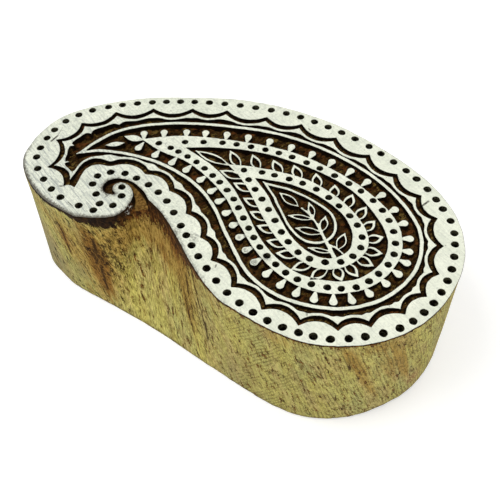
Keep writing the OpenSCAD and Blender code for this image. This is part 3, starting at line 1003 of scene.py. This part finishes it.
def toned(n):
    """Clouds and streaks of colour in the wood."""
    pale, dull = (0.50, 0.445, 0.125), (0.43, 0.41, 0.15)
    deep_yellow, grey_and_shade_tint = (0.47, 0.385, 0.08), (0.27, 0.235, 0.115)
    tan, brown = (0.46, 0.35, 0.15), (0.25, 0.175, 0.045)
    orange, red = (0.36, 0.215, 0.047), (0.22, 0.103, 0.021)
    colour = n.mix(n.ramp(n.noise(n.grain(0.3), 0.1, 4, 0.65), 0.35, 0.65), pale, dull)
    colour = n.lay(colour, n.layer("yellow"), 0.7, deep_yellow)
    # Greyer, darker patches; under the curl at the front left they are painted shade
    colour = n.lay(colour, n.layer("grey_and_shade"), 0.85, grey_and_shade_tint)
    colour = n.lay(colour, n.ramp(n.noise(n.grain(0.25), 0.22, 4, 0.7), 0.45, 0.62), 0.55, tan)
    colour = n.lay(colour, n.ramp(n.noise(n.grain(0.07), 0.32, 4, 0.65), 0.54, 0.72), 0.3, brown)
    streak = n.noise(n.grain(0.06), 0.75, 5, 0.75)
    for key, tint, share in [("orange", orange, 0.8), ("warm", red, 0.88)]:
        tone = n.math("MULTIPLY_ADD", streak, 1.5, n.math("SUBTRACT", n.layer(key), 0.8))
        colour = n.lay(colour, n.ramp(tone, 0.05, 0.75), share, tint)
    return colour


def fibrous(n, colour, calm):
    """Light and dark fibres in a colour, weaker where it is calm."""
    light, dark = (1.5, 1.5, 1.45), (0.48, 0.45, 0.36)
    lit = n.mix(calm, colour, n.mix(1.0, colour, light, "MULTIPLY"))
    shade = n.mix(calm, colour, n.mix(1.0, colour, dark, "MULTIPLY"))
    return n.mix(n.ramp(n.fibre, 0.38, 0.62), lit, shade)


def saw_marks(n):
    """Scratches of the saw on the right part of the front and on the back."""
    steep = n.times(n.stripes(0.95, 0.3, 0.95), n.ramp(n.along, 22.0, 42.0))
    rising = n.times(n.stripes(0.8, -0.6, 0.95), n.ramp(n.along, 50.0, 30.0))
    level = n.times(n.stripes(0.35, 0.94, 1.0), 0.6)
    return n.times(n.math("MAXIMUM", steep, n.math("MAXIMUM", rising, level)), n.ruled)


def stain_and_painted_shade(n, colour):
    """The ragged dark band below the face: black under the curl, which is stain with painted shade, and red
    brown stain along the notch; the same red paints a thin shadow under the coat's edge elsewhere.
    """
    rust, umber, burnt_and_shade = (0.20, 0.08, 0.017), (0.03, 0.012, 0.004), (0.022, 0.009, 0.003)
    soot_and_shade, jet = (0.035, 0.016, 0.005), (0.004, 0.002, 0.001)
    rough = n.noise(n.grain(0.35), 0.8, 6, 0.85)
    ragged = n.math("MULTIPLY_ADD", rough, 2.6, n.math("SUBTRACT", n.layer("stain_with_shade"), 1.3))
    fleck = n.noise(n.grain(0.5), 1.3, 4, 0.8)
    # Red brown: stain along the notch, painted shadow under the coat's edge elsewhere, darkest nearest the
    # face.
    red = n.mix(n.ramp(fleck, 0.40, 0.56), rust, umber)
    red = n.mix(n.ramp(ragged, 0.5, 0.8), red, burnt_and_shade)
    black_stain_and_shade = n.mix(n.ramp(fleck, 0.40, 0.60), soot_and_shade, jet)
    return n.mix(n.ramp(ragged, 0.08, 0.24), colour, n.mix(n.ramp(n.along, -27, -21), black_stain_and_shade, red))


def damaged(n, colour):
    """Cracks, a rusty spot, chips of coat beside the curl's end, and darker colour along the lower edge."""
    crack_tint, rust_tint = (0.045, 0.022, 0.006), (0.25, 0.085, 0.04)
    chip_tint, bottom_dark_tint = (0.7, 0.72, 0.66), (0.08, 0.055, 0.02)
    cracks = [
        (2.5, 37, 8.5, 18, 0.5), (0, 31, 1, 25, 0.6), (0, 20, 2.4, 13, 0.7), (8, 22, 8.8, 14, 0.7),
        (-41.8, 30, -41, 20, 0.6), (-31.6, 31, -31, 22, 0.6), (-30.8, 18, -30, 8, 0.6),
        (50, 31, 50.6, 28, 0.6),
    ]
    for *line, half in cracks:
        crack = n.times(n.ramp(n.fibre, 0.36, 0.48), n.slit(n.along, n.z, line, half))
        colour = n.lay(colour, crack, 0.95, crack_tint)
    rust = n.times(n.near(n.plain, (62.3, -11.5, 8.0), 5.0, 0.5), n.ramp(n.fibre, 0.35, 0.6))
    colour = n.lay(colour, rust, 0.7, rust_tint)
    chip = n.near(n.plain, (-23.6, -21.2, 38.2), 2.2, 1.0)
    colour = n.lay(colour, chip, n.ramp(n.noise(n.plain, 1.6, 2), 0.56, 0.6), chip_tint)
    # Darker towards the lower edge.
    bottom_dark = n.times(n.ramp(n.z, 1.8, 0.3), n.ramp(n.coarse, 0.3, 0.6))
    return n.lay(colour, bottom_dark, 0.75, bottom_dark_tint)


def side_wood():
    """The sawn sides. They are calmer on greyer patches, which under the curl at the front left are painted
    shade, and where ruled by the saw.
    """
    pore_tint, saw_tint = (0.05, 0.026, 0.007), (0.15, 0.115, 0.035)
    n = Side("sawn wood")
    calm = n.times(n.without(n.layer("grey_and_shade"), 0.65), n.without(n.ruled, 0.4))
    colour = fibrous(n, toned(n), calm)
    pits = n.math("MULTIPLY_ADD", n.layer("pitted"), 0.13, n.noise(n.grain(0.42), 1.3, 4, 0.8))
    pores = n.times(n.times(n.ramp(pits, 0.62, 0.68), calm), n.without(n.ruled, 0.7))
    colour = n.lay(colour, pores, 0.9, pore_tint)
    sawn = saw_marks(n)
    colour = n.lay(colour, sawn, 0.75, saw_tint)
    colour = damaged(n, stain_and_painted_shade(n, colour))
    bump = n.math("SUBTRACT", n.fibre, n.times(n.plus(pores, sawn), 0.5))
    return n.surface(colour, 0.7, bump, 0.00025, 0.06)


def end_wood():
    """The back, sawn across the grain: growth rings, open pores and saw marks."""
    early, late, cloudy = (0.40, 0.335, 0.11), (0.27, 0.20, 0.06), (0.30, 0.19, 0.05)
    saw_tint, pore_tint, hand_tint = (0.14, 0.10, 0.035), (0.05, 0.028, 0.008), (0.11, 0.075, 0.03)
    n = Nodes("sawn back")
    plain = n.millimetres()
    bend = n.noise(plain, 0.05, 3, 0.6)
    heart = n.distance(plain, (-70, 90, 0))
    phase = n.plus(n.times(heart, 1.6), n.times(bend, 18.0))
    colour = n.mix(n.ramp(n.math("SINE", phase), -0.4, 0.9), early, late)
    colour = n.lay(colour, n.ramp(n.noise(plain, 0.07, 4, 0.65), 0.4, 0.66), 0.5, cloudy)
    saw = n.noise(n.millimetres((1, 0.05, 1), 12), 1.2, 4, 0.75)
    colour = n.lay(colour, n.ramp(saw, 0.5, 0.64), 0.4, saw_tint)
    pores = n.ramp(n.noise(plain, 1.5, 3, 0.7), 0.6, 0.68)
    colour = n.lay(colour, pores, 0.8, pore_tint)
    colour = n.lay(colour, n.ramp(n.noise(plain, 0.035, 5, 0.7), 0.5, 0.68), 0.35, hand_tint)
    bump = n.math("SUBTRACT", n.times(saw, -1.0), pores)
    return n.surface(colour, 0.75, bump, 0.0002, 0.06)


def carved_ground():
    """The carved wood: black along ridges, in narrow cuts and in the dots, which is painted shade with some
    stain; brown with olive and red, raw at the slot's mouth.
    """
    black_stain_and_shade, dark, brown_tint = (0.004, 0.002, 0.001), (0.006, 0.003, 0.001), (0.074, 0.036, 0.009)
    olive_tint, red_tint, dust = (0.20, 0.13, 0.032), (0.13, 0.044, 0.011), (0.075, 0.07, 0.042)
    raw_dark, raw_light = (0.10, 0.048, 0.012), (0.42, 0.24, 0.06)
    slot_mouth = (-22.3, -17.5, 36.5)
    n = Nodes("carved wood")
    plain = n.millimetres()
    floor = n.layer("floor")
    chips = n.millimetres((1, 0.45, 1), -30)
    speck = n.noise(chips, 1.3, 5, 0.8)
    brown = n.mix(n.ramp(speck, 0.41, 0.65), dark, brown_tint)
    patch = n.noise(plain, 0.16, 3, 0.6)
    olive = n.ramp(n.noise(chips, 0.9, 4, 0.8), 0.52, 0.62)
    brown = n.lay(brown, olive, n.ramp(patch, 0.42, 0.6), olive_tint)
    red = n.ramp(n.noise(chips, 0.8, 4, 0.75), 0.52, 0.63)
    brown = n.lay(brown, red, n.ramp(patch, 0.58, 0.42), red_tint)
    raw = n.mix(n.ramp(speck, 0.38, 0.62), raw_dark, raw_light)
    brown = n.lay(brown, n.near(plain, slot_mouth, 12.0, 2.0), 0.9, raw)
    # Black near the ridges, in narrow cuts and in the dots is painted shade with some stain; open ground is
    # brown.
    colour = n.mix(n.ramp(floor, 0.03, 0.36), black_stain_and_shade, brown)
    drill = n.ramp(n.noise(plain, 0.9, 4, 0.75), 0.42, 0.6)
    colour = n.lay(colour, n.ramp(floor, -0.1, -0.5), drill, dust)
    return n.surface(colour, 0.75, speck, 0.0003, 0.03)


def scratched(n, colour, plain, x, y, fine):
    """Dark scratches and smudges on the coat."""
    scratch_tint, smudge_tint = (0.03, 0.025, 0.018), (0.10, 0.10, 0.085)
    scratches = [
        (-58.2, -9.3, -58.4, -12.4, 0.42, 1.0), (-59.2, -6, -58.3, -9.3, 0.2, 0.5),
        (-30.7, -20.4, -31.1, -22.2, 0.22, 0.7), (-44.9, -25.1, -43.8, -24.5, 0.3, 1.0),
        (-55.6, -22.3, -54, -22.6, 0.4, 0.8), (46.6, 21.6, 45.6, 18.6, 0.42, 1.0),
        (4.6, 30.4, 5.5, 29.8, 0.3, 0.8), (8, -26, 8.3, -27, 0.3, 0.8),
        (-39, -28.4, -36.8, -29, 0.3, 0.6), (35, -27.2, 35.5, -28, 0.4, 0.6),
    ]
    for *line, half, dark in scratches:
        scratch = n.times(n.slit(x, y, line, half), dark)
        colour = n.lay(colour, scratch, n.ramp(fine, 0.3, 0.5), scratch_tint)
    smudges = [
        (12, -18.3, 1.0, 0.8), (16, -20.5, 1.2, 0.9), (8.3, -15.5, 0.9, 0.6), (18, -17.4, 1.8, 0.8),
        (21, -5, 1.5, 0.5), (-2, -21.5, 2.0, 0.6), (-7, -22, 1.6, 0.6),
    ]
    for px, py, size, dark in smudges:
        smudge = n.times(n.near(plain, (px, py, FACE_Z), size, size * 0.35), dark)
        colour = n.lay(colour, smudge, n.ramp(fine, 0.35, 0.6), smudge_tint)
    return colour


def ground_coat():
    """The white coat: greyer at the left front, by painted shade and dirt, brushed most at the left, worn dark
    along its edges.
    """
    white, cream = (0.86, 0.88, 0.73), (0.74, 0.77, 0.63)
    fine_dirt, blotch_dirt, specks = (0.36, 0.38, 0.30), (0.42, 0.45, 0.38), (0.12, 0.11, 0.09)
    brush_tint, left_shade_tint = (0.24, 0.265, 0.26), (0.45, 0.48, 0.47)
    scuff_left, scuff_right = (0.07, 0.06, 0.045), (0.15, 0.15, 0.125)
    n = Nodes("ground coat")
    plain = n.millimetres()
    parts = n.add("ShaderNodeSeparateXYZ", {0: plain})
    x, y = parts.outputs[0], parts.outputs[1]
    colour = n.mix(n.ramp(n.noise(plain, 0.13, 4, 0.6), 0.35, 0.7), white, cream)
    # Greyer towards the left front: painted shade, with more dirt and brushing there.
    left = n.near(plain, (-44, -25, 40), 42.0, 8.0)
    fine = n.noise(plain, 1.6, 5, 0.8)
    blotch = n.noise(plain, 0.6, 5, 0.75)
    dirt_and_shade = n.math("MULTIPLY_ADD", n.ramp(x, 45.0, -30.0), 0.5, 0.5)
    colour = n.lay(colour, n.ramp(fine, 0.42, 0.66), n.times(dirt_and_shade, 0.5), fine_dirt)
    colour = n.lay(colour, n.ramp(blotch, 0.48, 0.68), n.times(dirt_and_shade, 0.55), blotch_dirt)
    brush = n.noise(n.millimetres((0.09, 1, 1), -22), 1.5, 5, 0.8)
    strong = n.math("MULTIPLY_ADD", left, 0.6, 0.2)
    colour = n.lay(colour, n.ramp(brush, 0.47, 0.63), strong, brush_tint)
    colour = n.lay(colour, left, 0.12, left_shade_tint)
    colour = n.lay(colour, n.ramp(n.noise(plain, 0.9, 3, 0.6), 0.67, 0.72), 0.6, specks)
    hairs = n.noise(n.millimetres((1, 0.7, 1), 15), 1.5, 5, 0.8)
    torn = n.math("MULTIPLY_ADD", hairs, 1.3, n.math("SUBTRACT", n.layer("worn"), 0.65))
    scuff = n.mix(n.ramp(x, -20.0, -5.0), scuff_left, scuff_right)
    colour = n.lay(colour, n.ramp(torn, 0.40, 0.85), 0.92, scuff)
    colour = scratched(n, colour, plain, x, y, fine)
    return n.surface(colour, 0.6, n.plus(brush, fine), 0.00008, 0.2)


# Stage, light and camera

WHITE = (1, 1, 1)
FLOOR_GREY = (0.86, 0.86, 0.86)
FLOOR_HALF = 3.0

# Name, place and size in metres, and power
LAMPS = [
    ("key", (-0.35, -0.25, 0.75), 0.5, 3.2), ("fill", (0.55, -0.45, 0.45), 0.6, 2.2),
    ("back", (0.2, 0.6, 0.6), 0.6, 1.6),
]
LAMPS_AIM = (0, 0, 0.02)

# The camera as solved from the photo: pixels, metres and degrees
PHOTO_PIXELS = 500
FOCAL_PIXELS = 770
SENSOR = 36
CAMERA_PLACE = (0.0783, -0.1220, 0.1987)
CAMERA_DOWN = 52.2
CAMERA_TURN = 32
CAMERA_ROLL = -1.4


def seen(n):
    """1 for rays that show a thing itself: straight, mirrored or through glass."""
    path = n.add("ShaderNodeLightPath")
    most = path.outputs["Is Camera Ray"]
    for kind in ("Is Glossy Ray", "Is Transmission Ray"):
        most = n.math("MAXIMUM", most, path.outputs[kind])
    return most


def build_stage():
    """A floor with the block's shadow, white further off."""
    n = Nodes("floor")
    diffuse = n.add("ShaderNodeBsdfDiffuse", {"Color": FLOOR_GREY})
    glow = n.add("ShaderNodeEmission", {"Color": WHITE, "Strength": 0.3})
    both = n.add("ShaderNodeAddShader", {0: diffuse, 1: glow})
    white = n.add("ShaderNodeEmission", {"Color": WHITE, "Strength": 1.0})
    close = n.near(n.millimetres(), (0, 0, 0), 450.0, 150.0)
    pale = n.add("ShaderNodeMixShader", {0: close, 1: white, 2: both})
    n.finish(n.add("ShaderNodeMixShader", {0: seen(n), 1: diffuse, 2: pale}))
    mesh = bpy.data.meshes.new("floor")
    s = FLOOR_HALF
    mesh.from_pydata([(-s, -s, 0), (s, -s, 0), (s, s, 0), (-s, s, 0)], [], [(0, 1, 2, 3)])
    mesh.materials.append(n.owner)
    obj = bpy.data.objects.new("floor", mesh)
    bpy.context.scene.collection.objects.link(obj)


def build_light():
    """A white studio that lights softly, and three lamps."""
    n = Nodes("studio", bpy.data.worlds, "ShaderNodeOutputWorld")
    bpy.context.scene.world = n.owner
    soft = n.add("ShaderNodeBackground", {"Color": WHITE, "Strength": 0.5})
    white = n.add("ShaderNodeBackground", {"Color": WHITE, "Strength": 1.0})
    n.finish(n.add("ShaderNodeMixShader", {0: seen(n), 1: soft, 2: white}))
    for name, place, size, power in LAMPS:
        lamp = bpy.data.lights.new(name, "AREA")
        lamp.size = size
        lamp.energy = power
        obj = bpy.data.objects.new(name, lamp)
        obj.location = place
        obj.rotation_euler = (Vector(LAMPS_AIM) - Vector(place)).to_track_quat("-Z", "Y").to_euler()
        bpy.context.scene.collection.objects.link(obj)


def build_camera():
    cam = bpy.data.cameras.new("camera")
    cam.sensor_width = SENSOR
    cam.lens = SENSOR * FOCAL_PIXELS / PHOTO_PIXELS
    obj = bpy.data.objects.new("camera", cam)
    down = math.radians(CAMERA_DOWN)
    turn = math.radians(CAMERA_TURN)
    flat = Vector((-math.sin(turn), math.cos(turn), 0))
    look = flat * math.cos(down) + Vector((0, 0, -math.sin(down)))
    right = look.cross(Vector((0, 0, 1))).normalized()
    up = right.cross(look)
    m = Matrix((right, up, -look)).transposed()
    m = m @ Matrix.Rotation(math.radians(CAMERA_ROLL), 3, "Z")
    obj.matrix_world = Matrix.Translation(CAMERA_PLACE) @ m.to_4x4()
    bpy.context.scene.collection.objects.link(obj)
    bpy.context.scene.camera = obj


wood, loops, dots = build_block([side_wood(), carved_ground(), end_wood()])
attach(wood, "root")
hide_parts("carved_block")
edges = lookup(np.vstack([filled(loop, 3) for loop in loops + dots]))
rim = lookup(loops[0])
white_coat = ground_coat()
for name in COATS:
    skin = build_coat(name, edges, rim, white_coat)
    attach(skin, "root")
    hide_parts(name)
build_stage()
build_light()
build_camera()
bpy.context.scene.view_settings.view_transform = "Standard"
